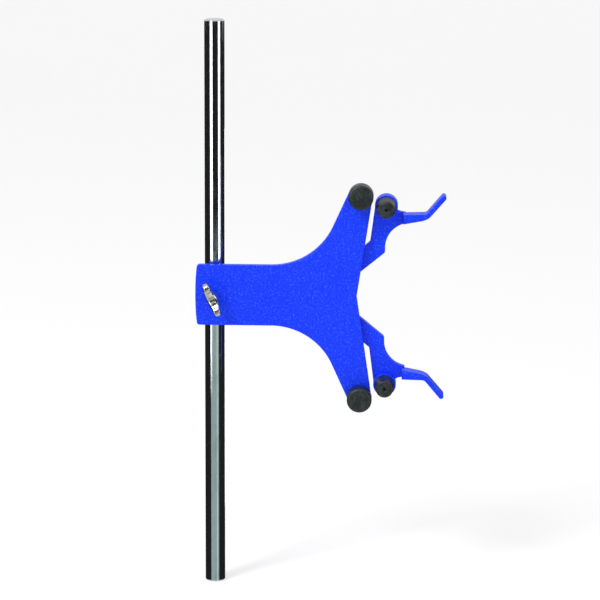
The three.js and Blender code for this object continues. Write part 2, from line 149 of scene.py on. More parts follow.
# The levers.
PIVOT = complex(LEVER_ORIGIN[0], LEVER_ORIGIN[2] - CLAMP_HEIGHT)
LEVER_FRONT = LEVER_ORIGIN[1] - 2.5
LEVER_BACK = LEVER_ORIGIN[1] + 2.5
HEADING = math.radians(39.5)  # of the strip, from the pivot
STRIP_HALF = 5.3
PIVOT_BORE = 3.3  # in the levers and the washers
LEVER_END = round_place("upper_lever_bung")[0]
LEVER_END_RADIUS = 6.85
LEVER_END_TOP = LEVER_FRONT - 4
LEVER_BEND = 97.2 + 29.2j  # on the strip's middle line
INNER_CORNER = 93.2 + 32.3j
OUTER_CORNER = 102.2 + 25.8j
FINGER_HOLLOW = 117.2 + 28.9j
FINGER_HOLLOW_RADIUS = 15
FINGER_HOLLOW_END = math.radians(100)
NECK_TOP = 112.2 + 50.5j
LEVER_EDGE = 0.6

TAB_FRONT = span("upper_lever")[0][1]
TAB_DEPTH = 11
TAB_ROOT_LOW = 112.9 + 44.4j
TAB_ROOT_HIGH = 112.9 + 50.1j
TAB_KNEE = 126.6 + 50.5j
TAB_SLOPE = math.radians(49.5)
TAB_BLADE = 2.95
TAB_TIP = 136.7 + 60.3j
TAB_EDGE = 0.65

CLIP_EDGE = 0.12

# The springs behind the levers, and what holds them.
WIRE_RADIUS = 0.6
COIL_RADIUS = 4.3
COIL_TURNS = 3
COIL_STEPS = 220
COIL_START = -0.45
COIL_END = 3.9
WIRE_SPARE = 3  # how far each leg runs past its peg
SPRING_PEG_RADIUS = 1.8
SPRING_PEG_DISTANCE = 10.5
SPRING_PEG_HEADING = math.radians(196)
SPRING_PEG_TIP = COIL_END + 0.8
LEVER_PEG_RADIUS = 1.4
LEVER_PEG_DISTANCE = 13
LEVER_PEG_LENGTH = 2.6
STOP_RADIUS = 2.3
STOP_LENGTH = 5.6
STOP_ALONG = 9

# -------------------------------- flat curves


def straight(start, end):
    """start + (end - start) share."""
    return lambda share: start + (end - start) * share


def on_circle(centre, radius, angle):
    """centre + radius e^(i angle)."""
    return centre + radius * np.exp(1j * angle)


def arc(centre, radius, first, last):
    """Round a circle, with the angle going evenly from first to last."""
    return lambda share: on_circle(centre, radius, first + (last - first) * share)


def bend(start, pull, end):
    """The parabola (1-s)^2 start + 2 s (1-s) pull + s^2 end."""
    return lambda s: (1 - s) ** 2 * start + 2 * s * (1 - s) * pull + s**2 * end


def part(curve, first, last):
    """The stretch of a curve between two of its shares."""
    return lambda share: curve(first + (last - first) * share)


def rest_at(point):
    """The same point all along: a pole of the spine."""
    return lambda share: point + 0 * share


def shares(count):
    """count even shares from 0, without 1, where the next curve starts."""
    return np.arange(count) / count


def side(spine, *edges):
    """One side of a flat piece: its edge curves in turn, each with a count of points, and the
    spine curve spread evenly over them all. Returns outline and spine points as two rows."""
    outline = np.concatenate([curve(shares(count)) for curve, count in edges])
    return np.stack([outline, spine(shares(outline.size))])


def with_mirror(half, outline_end, spine_end, mirror):
    """A whole loop: its first half, the point on the mirror line that ends it, and the mirror image
    of the half in the opposite order, so that the loop goes on the same way round."""
    return np.concatenate([half, [[outline_end], [spine_end]], mirror(half[:, :0:-1])], axis=1)


# -------------------------------- grids of points

EDGE_STEPS = 6  # rows round an edge
FACE_ROWS = 5  # rows from the spine to the edge
SUPPORT = 0.22  # a row this near each rounding keeps the flat beside it looking flat
SUPPORT_SHARE = 0.3  # and the row stays within this share of the flat
ROUND = 96  # columns round a large turned piece


def upright(flat, depth):
    """A point of the clamp's plane, at a depth along Y."""
    return np.stack([flat.real, depth, flat.imag], axis=-1)


def lying(flat, height):
    """A point of the plane seen from above, x + i y, at a height along Z."""
    return np.stack([flat.real, flat.imag, height], axis=-1)


def slab(sides, first, last, edge, place=upright):
    """A flat piece with rounded edges. Each column goes from its spine point over the first face
    to the outline, round the edge, along the side, and back over the last face. On the rounding,
    at angle a, a point is edge (1 - sin a) inside the outline and edge (1 - cos a) below the face."""
    outline, spine = sides
    ahead = np.roll(outline, -1) - outline
    ahead /= np.abs(ahead)
    both = ahead + np.roll(ahead, 1)
    inward = 2j * both / np.abs(both) ** 2  # the mitred step that moves both edges in by 1
    turn = np.linspace(0, math.pi / 2, EDGE_STEPS + 1)
    to_spine = np.concatenate([np.linspace(1, 0, FACE_ROWS), np.zeros(EDGE_STEPS + 2)])
    inset = np.concatenate([np.full(FACE_ROWS, edge + SUPPORT), edge * (1 - np.sin(turn)), [0]])
    depth = np.concatenate([np.zeros(FACE_ROWS), edge * (1 - np.cos(turn)), [edge + SUPPORT]])
    to_spine = np.concatenate([to_spine, to_spine[::-1]])[:, None]
    inset = np.concatenate([inset, inset[::-1]])[:, None]
    thickness = abs(last - first)
    depth = np.concatenate([depth, thickness - depth[::-1]])[:, None]
    rim = outline + inward * inset
    flat = rim + (spine - rim) * to_spine
    return place(flat, first + math.copysign(1, last - first) * depth + 0 * flat.real)


def soften(corners, steps=EDGE_STEPS):
    """A profile through corners (radius, depth, rounding): each rounding is a circular arc that
    touches both sides, about a centre on the corner's bisector, with a support point at each end."""
    corners = [(complex(across, depth), rounding) for across, depth, rounding in corners]
    points = [corners[0][0]]
    for (before, _), (corner, rounding), (after, _) in zip(corners, corners[1:], corners[2:]):
        if rounding == 0:
            points.append(corner)
            continue
        back, on = before - corner, after - corner
        back_way, on_way = back / abs(back), on / abs(on)
        half = abs(np.angle(on_way / back_way)) / 2
        tangent = rounding / math.tan(half)
        middle = (back_way + on_way) / abs(back_way + on_way)
        centre = corner + middle * rounding / math.sin(half)
        start = corner + back_way * tangent - centre
        sweep = np.angle((corner + on_way * tangent - centre) / start)
        lead = min(SUPPORT, SUPPORT_SHARE * abs(back))
        trail = min(SUPPORT, SUPPORT_SHARE * abs(on))
        points.append(corner + back_way * (tangent + lead))
        points.extend(centre + start * np.exp(1j * sweep * np.linspace(0, 1, steps + 1)))
        points.append(corner + on_way * (tangent + trail))
    points.append(corners[-1][0])
    return np.array(points)


def turned(corners, centre=0j, sides=ROUND, steps=EDGE_STEPS, place=upright):
    """A round piece: each point of a softened profile, radius + i depth, carried round a circle."""
    profile = soften(corners, steps)
    circle = np.exp(2j * math.pi * shares(sides))
    flat = centre + np.outer(profile.real, circle)
    return place(flat, profile.imag[:, None] + 0 * flat.real)


def flipped(grid):
    """The grid turned over across the clamp's middle, with its columns in the opposite order so
    that its faces still point outwards."""
    return grid[:, ::-1] * np.array([1, 1, -1])


# Each end of the clamp, and what turns an upper grid into that end's own.
ENDS = (("upper", lambda grid: grid), ("lower", flipped))


# -------------------------------- making meshes

SHARP_ANGLE = math.radians(40)
WELD = 1e-3  # points that round to the same step of this size become one


def faces_of(grids):
    """The points of all the grids and their quads, each grid closed across its columns."""
    points, quads, start = [], [], 0
    for grid in grids:
        rows, columns = grid.shape[:2]
        number = start + np.arange(rows * columns).reshape(rows, columns)
        beside = np.roll(number, -1, axis=1)
        quads.append(np.stack([number[:-1], number[1:], beside[1:], beside[:-1]], -1).reshape(-1, 4))
        points.append(grid.reshape(-1, 3))
        start += rows * columns
    return np.concatenate(points), np.concatenate(quads)


def welded(points, quads):
    """Points that share a place become one, so that seams and poles close. A quad that has lost
    one side becomes a triangle, and one that has lost more is dropped."""
    _, first, index = np.unique(
        np.round(points / WELD).astype(np.int64), axis=0, return_index=True, return_inverse=True
    )
    quads = index.reshape(-1)[quads]
    lost = quads == np.roll(quads, -1, axis=1)
    crossed = (quads[:, 0] == quads[:, 2]) | (quads[:, 1] == quads[:, 3])
    whole = quads[(lost.sum(1) == 0) & ~crossed]
    single = (lost.sum(1) == 1) & ~crossed
    triangles = quads[single][~lost[single]].reshape(-1, 3)
    return points[first], whole, triangles


def smooth_object(name, points, faces, material):
    """An object with smooth faces, in the scene."""
    mesh = bpy.data.meshes.new(name)
    mesh.from_pydata(points.tolist(), [], faces)
    mesh.polygons.foreach_set("use_smooth", np.ones(len(mesh.polygons), bool))
    mesh.materials.append(material)
    made = bpy.data.objects.new(name, mesh)
    bpy.context.scene.collection.objects.link(made)
    return made


def piece(name, grids, slot, body, node, lift=CLAMP_HEIGHT):
    """A finished piece made of grids, with its slot's finish, in the place of a CAD node. It rides
    on a body unless that is None."""
    points, quads, triangles = welded(*faces_of(grids))
    points = (points + [0, 0, lift]) * MM
    made = smooth_object(name, points, quads.tolist() + triangles.tolist(), FINISH[slot])
    made.data.set_sharp_from_angle(angle=SHARP_ANGLE)
    if body is not None:
        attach(made, body)
    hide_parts(node)
    return made


# -------------------------------- shader helpers


def feed(tree, value, socket):
    """Feeds a socket from another node's output, or sets its own value."""
    if isinstance(value, bpy.types.NodeSocket):
        tree.links.new(value, socket)
    else:
        socket.default_value = value


def math_node(tree, operation, first, second=0.0, clamp=False):
    node = tree.nodes.new("ShaderNodeMath")
    node.operation = operation
    node.use_clamp = clamp
    feed(tree, first, node.inputs[0])
    feed(tree, second, node.inputs[1])
    return node.outputs[0]


def times(tree, first, second):
    return math_node(tree, "MULTIPLY", first, second)


def noise(tree, vector, scale, detail=2.0, roughness=0.5, distortion=0.0):
    node = tree.nodes.new("ShaderNodeTexNoise")
    feed(tree, vector, node.inputs["Vector"])
    feed(tree, scale, node.inputs["Scale"])
    node.inputs["Detail"].default_value = detail
    node.inputs["Roughness"].default_value = roughness
    node.inputs["Distortion"].default_value = distortion
    return node.outputs["Fac"]


def stretch(tree, vector, scale):
    node = tree.nodes.new("ShaderNodeMapping")
    feed(tree, vector, node.inputs["Vector"])
    node.inputs["Scale"].default_value = scale
    return node.outputs["Vector"]


def ramp(tree, value, low, high, out_low=0.0, out_high=1.0):
    """A smooth step from out_low to out_high while value goes from low to high."""
    node = tree.nodes.new("ShaderNodeMapRange")
    node.interpolation_type = "SMOOTHSTEP"
    feed(tree, value, node.inputs["Value"])
    limits = {"From Min": low, "From Max": high, "To Min": out_low, "To Max": out_high}
    for socket, number in limits.items():
        feed(tree, number, node.inputs[socket])
    return node.outputs["Result"]


def mix_colour(tree, share, first, second):
    node = tree.nodes.new("ShaderNodeMix")
    node.data_type = "RGBA"
    feed(tree, share, node.inputs["Factor"])
    colours = [socket for socket in node.inputs if socket.type == "RGBA"]
    feed(tree, first, colours[0])
    feed(tree, second, colours[1])
    return next(socket for socket in node.outputs if socket.type == "RGBA")


def bump(tree, height, distance):
    node = tree.nodes.new("ShaderNodeBump")
    feed(tree, height, node.inputs["Height"])
    node.inputs["Distance"].default_value = distance
    node.inputs["Strength"].default_value = 0.5
    return node.outputs["Normal"]


def object_place(tree):
    return tree.nodes.new("ShaderNodeTexCoord").outputs["Object"]


def new_group(name, inputs, outputs):
    """An empty shader group with float or vector inputs, given as (name, value), and float outputs."""
    tree = bpy.data.node_groups.new(name, "ShaderNodeTree")
    for label, value in inputs:
        kind = "NodeSocketVector" if value is None else "NodeSocketFloat"
        socket = tree.interface.new_socket(label, in_out="INPUT", socket_type=kind)
        if value is not None:
            socket.default_value = value
    for label in outputs:
        tree.interface.new_socket(label, in_out="OUTPUT", socket_type="NodeSocketFloat")
    return tree, tree.nodes.new("NodeGroupInput").outputs, tree.nodes.new("NodeGroupOutput").inputs


def use_group(tree, group, **values):
    node = tree.nodes.new("ShaderNodeGroup")
    node.node_tree = group
    for label, value in values.items():
        feed(tree, value, node.inputs[label.replace("_", " ")])
    return node.outputs


def fine_scratches_group():
    """Thin scratches: the crests of a noise, kept where a coarse noise is high. Scale is per metre
    across the scratches. Vector comes squeezed along them, and that draws them out."""
    tree, given, out = new_group(
        "fine_scratches",
        [("Vector", None), ("Scale", 2500.0), ("Cover", 0.5)],
        ["Mask", "Height"],
    )
    lines = noise(tree, given["Vector"], given["Scale"], detail=3, roughness=0.6)
    crest = ramp(tree, lines, 0.56, 0.66)
    coarse = noise(tree, given["Vector"], times(tree, given["Scale"], 0.06), detail=1)
    kept = ramp(tree, coarse, math_node(tree, "SUBTRACT", 0.9, given["Cover"]), 0.95)
    feed(tree, times(tree, crest, kept), out["Mask"])
    feed(tree, lines, out["Height"])
    return tree


def soft_blotches_group():
    """Faint marks of handling: two noises, one four times finer, multiplied and spread to 0..1."""
    tree, given, out = new_group("soft_blotches", [("Vector", None), ("Scale", 60.0)], ["Mask"])
    broad = noise(tree, given["Vector"], given["Scale"], detail=2, distortion=0.6)
    fine = noise(tree, given["Vector"], times(tree, given["Scale"], 4.3), detail=3)
    product = times(tree, broad, fine)
    feed(tree, ramp(tree, product, 0.16, 0.36), out["Mask"])
    return tree


def sandy_grain_group():
    """A moulded or baked skin: low rounded pimples from a noise, finer ones on top, and Speck,
    which is 1 on the few highest points."""
    tree, given, out = new_group(
        "sandy_grain", [("Vector", None), ("Scale", 900.0)], ["Height", "Speck"]
    )
    pimples = noise(tree, given["Vector"], given["Scale"], detail=1.5, roughness=0.55)
    finer = noise(tree, given["Vector"], times(tree, given["Scale"], 2.6), detail=1)
    height = math_node(tree, "ADD", times(tree, pimples, 0.7),
                       times(tree, finer, 0.3))
    feed(tree, height, out["Height"])
    feed(tree, ramp(tree, height, 0.52, 0.66), out["Speck"])
    return tree


SCRATCHES = fine_scratches_group()
BLOTCHES = soft_blotches_group()
GRAIN = sandy_grain_group()


def new_material(name):
    material = bpy.data.materials.new(name)
    material.use_nodes = True
    tree = material.node_tree
    return material, tree, tree.nodes["Principled BSDF"].inputs


# -------------------------------- materials


def blue_coat():
    """Baked powder coat: a saturated blue with a sandy skin, and a painted highlight: paler blue on
    the highest points of the pimples.
    """
    material, tree, skin = new_material("blue powder coat")
    place = object_place(tree)
    grain = use_group(tree, GRAIN, Vector=place, Scale=950.0)
    broad = noise(tree, place, 25.0, detail=1)
    deep = mix_colour(tree, broad, (0.002, 0.028, 0.80, 1), (0.004, 0.040, 0.90, 1))
    # painted highlight: the grain's highest points are mixed towards a paler blue, standing in for
    # glints of light on them
    painted_highlight_specks = times(tree, grain["Speck"], 0.6)
    feed(tree, mix_colour(tree, painted_highlight_specks, deep, (0.040, 0.15, 1.0, 1)), skin["Base Color"])
    feed(tree, ramp(tree, grain["Height"], 0.3, 0.7, 0.26, 0.40), skin["Roughness"])
    feed(tree, bump(tree, grain["Height"], 0.00020), skin["Normal"])
    skin["IOR"].default_value = 1.45
    skin["Specular IOR Level"].default_value = 0.2
    return material


def black_rubber():
    """Moulded rubber: grey-black with a dusty bloom, a fine skin and a soft sheen."""
    material, tree, skin = new_material("black rubber")
    place = object_place(tree)
    grain = use_group(tree, GRAIN, Vector=place, Scale=1700.0)
    bloom = use_group(tree, BLOTCHES, Vector=place, Scale=160.0)["Mask"]
    dark = mix_colour(tree, bloom, (0.009, 0.013, 0.014, 1), (0.022, 0.029, 0.030, 1))
    dust = times(tree, grain["Speck"], 0.25)
    feed(tree, mix_colour(tree, dust, dark, (0.060, 0.072, 0.072, 1)), skin["Base Color"])
    feed(tree, ramp(tree, bloom, 0, 1, 0.36, 0.50), skin["Roughness"])
    feed(tree, bump(tree, grain["Height"], 0.00008), skin["Normal"])
    return material


def metal(name, colour, dull, roughness, along, scale, cover, bump_depth):
    """A bare or plated metal. along gives how much the scratches are squeezed on each axis, so they
    run along the axes with the smallest numbers."""
    material, tree, skin = new_material(name)
    place = object_place(tree)
    lines = use_group(tree, SCRATCHES, Vector=stretch(tree, place, along), Scale=scale, Cover=cover)
    smear = use_group(tree, BLOTCHES, Vector=place, Scale=90.0)["Mask"]
    toned = mix_colour(tree, times(tree, smear, 0.5), colour, dull)
    feed(tree, mix_colour(tree, times(tree, lines["Mask"], 0.35), toned, dull),
         skin["Base Color"])
    worn = math_node(tree, "ADD", times(tree, smear, 0.06), roughness)
    feed(tree, math_node(tree, "ADD", worn, times(tree, lines["Mask"], 0.15), True),
         skin["Roughness"])
    feed(tree, bump(tree, lines["Height"], bump_depth), skin["Normal"])
    skin["Metallic"].default_value = 1.0
    return material


def chrome():
    """Polished rod: drawn lines along it, worn bright, with slight waves that unsettle highlights."""
    material, tree, skin = new_material("polished rod")
    place = object_place(tree)
    lines = use_group(tree, SCRATCHES, Vector=stretch(tree, place, (1, 1, 0.05)), Scale=2600.0,
                        Cover=0.55)
    smear = use_group(tree, BLOTCHES, Vector=stretch(tree, place, (1, 1, 0.35)), Scale=75.0)["Mask"]
    bright = mix_colour(tree, smear, (0.80, 0.81, 0.82, 1), (0.70, 0.72, 0.73, 1))
    feed(tree, mix_colour(tree, times(tree, lines["Mask"], 0.3), bright,
                          (0.35, 0.37, 0.38, 1)), skin["Base Color"])
    feed(tree, ramp(tree, math_node(tree, "ADD", smear, lines["Mask"]), 0, 1.6, 0.045, 0.16),
         skin["Roughness"])
    waves = noise(tree, stretch(tree, place, (1, 1, 0.4)), 420.0, detail=3, roughness=0.6)
    height = math_node(tree, "ADD", waves, times(tree, lines["Height"], 0.12))
    feed(tree, bump(tree, height, 0.00004), skin["Normal"])
    skin["Metallic"].default_value = 1.0
    return material


FINISH = {
    "chrome": chrome(),
    "blue_coat": blue_coat(),
    "black_rubber": black_rubber(),
    "nickel": metal("nickel plate", (0.80, 0.78, 0.71, 1), (0.36, 0.34, 0.27, 1), 0.12,
                    (1, 1, 1), 900.0, 0.6, 0.00012),
    "plain_steel": metal("plain steel", (0.58, 0.59, 0.60, 1), (0.33, 0.33, 0.34, 1), 0.26,
                         (0.2, 1, 0.2), 2400.0, 0.7, 0.00004),
    "spring_steel": metal("spring wire", (0.40, 0.41, 0.43, 1), (0.20, 0.20, 0.22, 1), 0.22,
                          (0.4, 1, 0.4), 3000.0, 0.6, 0.00003),
    "brass": metal("brass", (0.75, 0.56, 0.26, 1), (0.42, 0.30, 0.14, 1), 0.24,
                   (1, 0.2, 1), 2400.0, 0.6, 0.00004),
}

# -------------------------------- the rod


def support_rod():
    """A bar along Z with a rounded chamfer at each end."""
    chamfer = 0.8
    grid = turned([
        (0, ROD_LENGTH, 0),
        (ROD_RADIUS - chamfer, ROD_LENGTH, 0.25),
        (ROD_RADIUS, ROD_LENGTH - chamfer, 0.3),
        (ROD_RADIUS, ROD_LENGTH / 2, 0),
        (ROD_RADIUS, chamfer, 0.3),
        (ROD_RADIUS - chamfer, 0, 0.25),
        (0, 0, 0),
    ], place=lying)
    piece("rod", [grid], "chrome", "rod", "support_rod", lift=0)


# -------------------------------- the clamp casting


def plate_sides():
    """The Y-shaped plate's outline, anticlockwise from the fork, with a spine that runs up the
    arm to its end, back, along the stem, and half round the screw's boss."""
    across = HOLLOW - ARM_END
    leave = np.angle(-across) - math.acos((HOLLOW_RADIUS + ARM_RADIUS) / abs(across))
    reach = ARM_END - FORK
    inner = np.angle(reach) - math.asin(ARM_RADIUS / abs(reach)) - math.pi / 2
    outer = leave + math.pi
    inner_point = on_circle(ARM_END, ARM_RADIUS, inner)
    outer_point = on_circle(ARM_END, ARM_RADIUS, outer)
    top = 1j * STEM_HALF
    corner_x = STEM_LEFT + LEFT_BULGE
    corner_end = corner_x + 1j * (STEM_HALF - STEM_CORNER)
    upper = np.concatenate([
        side(straight(FORK_SPINE, ARM_END), (straight(FORK, inner_point), 60)),
        side(rest_at(ARM_END), (arc(ARM_END, ARM_RADIUS, inner, outer), 44)),
        side(straight(ARM_END, FORK_SPINE),
             (straight(outer_point, on_circle(HOLLOW, HOLLOW_RADIUS, leave)), 10),
             (arc(HOLLOW, HOLLOW_RADIUS, leave, HOLLOW_PART), 50)),
        side(straight(FORK_SPINE, BOSS_RING),
             (arc(HOLLOW, HOLLOW_RADIUS, HOLLOW_PART, -math.pi / 2), 20),
             (straight(HOLLOW.real + top, BOSS_RING + top), 20)),
        side(arc(0, BOSS_RING, 0, math.pi),
             (straight(BOSS_RING + top, corner_x + STEM_CORNER + top), 20),
             (bend(corner_x + STEM_CORNER + top, corner_x + 0.1 + top, corner_end), 10),
             (bend(corner_end, STEM_LEFT + top / 2, STEM_LEFT), 18)),
    ], axis=1)
    return with_mirror(upper, STEM_LEFT, -BOSS_RING, np.conj)


def screw_boss(ring):
    """The raised ring round the screw, with the screw's bore and the pad's pocket behind it: one
    profile carried round the same angles as the plate's own ring."""
    bore = SCREW_RADIUS + GAP
    profile = soften([
        (BOSS_RING, PLATE_BACK, 0),
        (POCKET_RADIUS, PLATE_BACK, 0.3),
        (POCKET_RADIUS, POCKET_FLOOR, 0.2),
        (bore, POCKET_FLOOR, 0.2),
        (bore, BOSS_FACE, 0.25),
        (BOSS_RADIUS, BOSS_FACE, BOSS_RIM),
        (BOSS_RADIUS, PLATE_FRONT, 0.25),
        (BOSS_RING, PLATE_FRONT, 0),
    ])
    flat = np.outer(profile.real, ring / abs(ring))
    return upright(flat, profile.imag[:, None] + 0 * flat.real)


def hook_band():
    """The hook's section seen from above: a band half a wall to each side of a middle line that
    leaves the plate, turns 45 degrees, rounds the V's apex and comes back towards the plate."""
    half = HOOK_WALL / 2
    seat = (ROD_RADIUS + GAP) * math.sqrt(2)
    apex = 1j * (seat + half * math.sqrt(2))
    wall_x = HOOK_INNER_X - half
    knee = wall_x + 1j * (apex.imag + wall_x)
    root = wall_x + 1j * (PLATE_BACK - BURIED)
    tip = HOOK_TIP_X - 0.4 + 1j * (apex.imag - HOOK_TIP_X + 0.4)
    line = soften([(root.real, root.imag, 0), (knee.real, knee.imag, half + 1),
                   (apex.real, apex.imag, half + 1.4), (tip.real, tip.imag, 0)], steps=14)
    ahead = np.gradient(line)
    left = 1j * ahead / np.abs(ahead)
    tip_arc = arc(tip, half, np.angle(-left[-1]), np.angle(-left[-1]) + math.pi)(shares(16))
    root_arc = arc(root, half, np.angle(left[0]), np.angle(left[0]) + math.pi)(shares(16))
    outline = [(line - half * left)[:-1], tip_arc, (line + half * left)[:0:-1], root_arc]
    spine = [line[:-1], rest_at(tip)(shares(16)), line[:0:-1], rest_at(root)(shares(16))]
    return np.stack([np.concatenate(outline), np.concatenate(spine)])


def along_lever(along, aside):
    """A point of the upper lever's strip: along it from the pivot, and aside to its left."""
    return PIVOT + (along + 1j * aside) * np.exp(1j * HEADING)


def post(centre, radius, tip):
    """A round post on the plate's back, with a softened end."""
    return turned([
        (0, PLATE_BACK - BURIED, 0),
        (radius, PLATE_BACK - BURIED, 0),
        (radius, tip, 0.5),
        (0, tip, 0),
    ], centre, sides=40)


def clamp_casting():
    """Plate, boss, hook, stop posts and spring pegs, all one casting."""
    sides = plate_sides()
    on_ring = np.isclose(abs(sides[1]), BOSS_RING)
    grids = [
        slab(sides, PLATE_FRONT, PLATE_BACK, PLATE_EDGE),
        screw_boss(sides[1][on_ring]),
        slab(hook_band(), HOOK_HALF_HEIGHT, -HOOK_HALF_HEIGHT, HOOK_EDGE, place=lying),
    ]
    corner_along = ((INNER_CORNER - PIVOT) * np.exp(-1j * HEADING)).real
    stop = along_lever(corner_along - STOP_ALONG, STRIP_HALF + GAP + STOP_RADIUS)
    peg = on_circle(PIVOT, SPRING_PEG_DISTANCE, SPRING_PEG_HEADING)
    for grid in (post(stop, STOP_RADIUS, PLATE_BACK + STOP_LENGTH),
                 post(peg, SPRING_PEG_RADIUS, SPRING_PEG_TIP)):
        grids += [grid, flipped(grid)]
    piece("clamp_casting", grids, "blue_coat", "clamp", "clamp_body")


# -------------------------------- the wing screw and its pad


def wings():
    """Two wings: a flat outline of lobes and saddle, thinned in proportion to its distance from
    the screw's axis, and turned to stand ahead of the boss, leaning off the rod's line."""
    half = WING_HALF_SPAN
    saddle = 1j * (WING_END - 3.4)
    heart = 1j * (WING_START + 3.4)
    lobe = half * 0.68 + 1j * (WING_END - 4.8)
    foot = NECK_RADIUS + 1j * WING_START
    flank = half * 0.93 + 1j * (WING_START + 4.2)
    shoulder = half * 0.86 + 1j * (WING_END - 0.7)
    dip = half * 0.42 + 1j * (WING_END - 1.7)
    right = np.concatenate([
        side(straight(heart, lobe),
             (straight(1j * WING_START, foot), 6),
             (bend(foot, half * 0.72 + 1j * (WING_START + 0.8), flank), 14)),
        side(rest_at(lobe),
             (bend(flank, half * 1.06 + 1j * (WING_END - 3.2), shoulder), 14),
             (bend(shoulder, half * 0.62 + 1j * (WING_END + 0.9), dip), 14)),
        side(straight(lobe, heart), (bend(dip, half * 0.26 + 1j * (WING_END - 2.9), saddle), 20)),
    ], axis=1)
    sides = with_mirror(right, saddle, heart, lambda points: -points.conj())
    flat = slab(sides, WING_THICKNESS / 2, -WING_THICKNESS / 2, WING_EDGE, place=lying)
    along, ahead, across = np.moveaxis(flat, -1, 0)
    thinner = 1 - WING_TIP_THICKNESS / WING_THICKNESS
    across = across * (1 - thinner * np.abs(along) / half)
    upward = np.exp(1j * (math.pi / 2 + WING_LEAN))
    return upright((along - 1j * across) * upward, BOSS_FACE - ahead)


def ramp_in(value, start, end):
    """0 before start, 1 after end, even between them."""
    return np.clip((value - start) / (end - start), 0, 1)


def screw_shank():
    """Hub, neck, threaded shank and nose in one turning. Between the neck and the nose the radius
    loses the thread's depth times a clipped triangle wave of (y / pitch + angle / a full turn)."""
    tip = PAD_FRONT - GAP
    hub_end = BOSS_FACE - WING_END + HUB_DEPTH
    neck_end = BOSS_FACE - NECK_START
    front = soften([
        (0, hub_end, 0),
        (HUB_RADIUS, hub_end, 0.8),
        (NECK_RADIUS, BOSS_FACE - WING_START - HUB_LENGTH, 1.5),
        (NECK_RADIUS, neck_end, 0.4),
        (SCREW_RADIUS, neck_end, 0),
    ])
    rows = int((tip - neck_end) / THREAD_PITCH * THREAD_ROWS)
    thread_y = np.linspace(neck_end, tip - THREAD_FADE[1], rows)
    nose = soften([
        (NOSE_RADIUS, tip, 0.15),
        (NOSE_RADIUS, tip + NOSE_LENGTH, 0.25),
        (0, tip + NOSE_LENGTH, 0),
    ])[1:]
    shank = SCREW_RADIUS + 1j * thread_y
    profile = np.concatenate([front[:-1], shank, [SCREW_RADIUS - THREAD_DEPTH + 1j * tip], nose])
    cut = np.zeros(profile.size)
    grown = ramp_in(thread_y, neck_end, neck_end + THREAD_TAPER)
    fading = ramp_in(tip - thread_y, THREAD_FADE[1], THREAD_FADE[0])
    cut[front.size - 1:front.size - 1 + rows] = THREAD_DEPTH * grown * fading
    angle = 2 * math.pi * shares(ROUND)
    turn = profile.imag[:, None] / THREAD_PITCH + angle / (2 * math.pi)
    wave = np.clip(np.abs(2 * (turn % 1) - 1) * THREAD_SLOPE, 0, 1)
    radius = profile.real[:, None] - cut[:, None] * wave
    return upright(radius * np.exp(1j * angle), profile.imag[:, None] + 0 * radius)


def wing_screw():
    piece("wing_screw_turned", [wings(), screw_shank()], "nickel", "wing_screw", "wing_screw")


def pressure_pad():
    """The brass disc on the screw's nose, with a socket for it."""
    socket = NOSE_RADIUS + GAP
    floor = PAD_FRONT + NOSE_LENGTH
    grid = turned([
        (0, floor, 0),
        (socket, floor, 0.1),
        (socket, PAD_FRONT, 0.15),
        (PAD_RADIUS, PAD_FRONT, 0.5),
        (PAD_RADIUS, PAD_BACK, 0.2),
        (0, PAD_BACK, 0),
    ])
    piece("pressure_pad_disc", [grid], "brass", "pressure_pad", "screw_pressure_pad")


# -------------------------------- the jaws


def rubber_cap(centre, radius, face, back):
    """A thick cap: a face that crowns slightly, a full rim, and a bore for its stud."""
    bore, floor = 3.4, back - 8.3
    return turned([
        (0, face, 0),
        (radius * 0.55, face + 0.05, 2),
        (radius, face + 0.25, 1.7),
        (radius, back, 0.5),
        (bore, back, 0.3),
        (bore, floor, 0.4),
        (0, floor, 0),
    ], centre, steps=10)


def rubber_bung(centre, base_radius, face, back):
    """A tapered bung with a conical dimple in its nose and a bore for its stud."""
    bore, floor = 2.7, back - 9
    nose_radius = base_radius * 0.85
    return turned([
        (0, face + 1.8, 0),
        (0.5, face + 1.7, 0.2),
        (1.2, face, 0.35),
        (nose_radius, face + 0.1, 1.1),
        (base_radius, back - 0.6, 0.3),
        (base_radius - 0.4, back, 0.2),
        (bore, back, 0.3),
        (bore, floor, 0.3),
        (0, floor, 0),
    ], centre, steps=8)


def jaws():
    """On each side, the fixed jaw's cap on the arm and the moving jaw's bung on the lever."""
    for end in ("upper", "lower"):
        cap = rubber_cap(*round_place(f"{end}_jaw_cap"))
        piece(f"{end}_rubber_cap", [cap], "black_rubber", "clamp", f"{end}_jaw_cap")
        bung = rubber_bung(*round_place(f"{end}_lever_bung"))
        piece(f"{end}_rubber_bung", [bung], "black_rubber", f"{end}_lever", f"{end}_lever_bung")


# -------------------------------- the levers


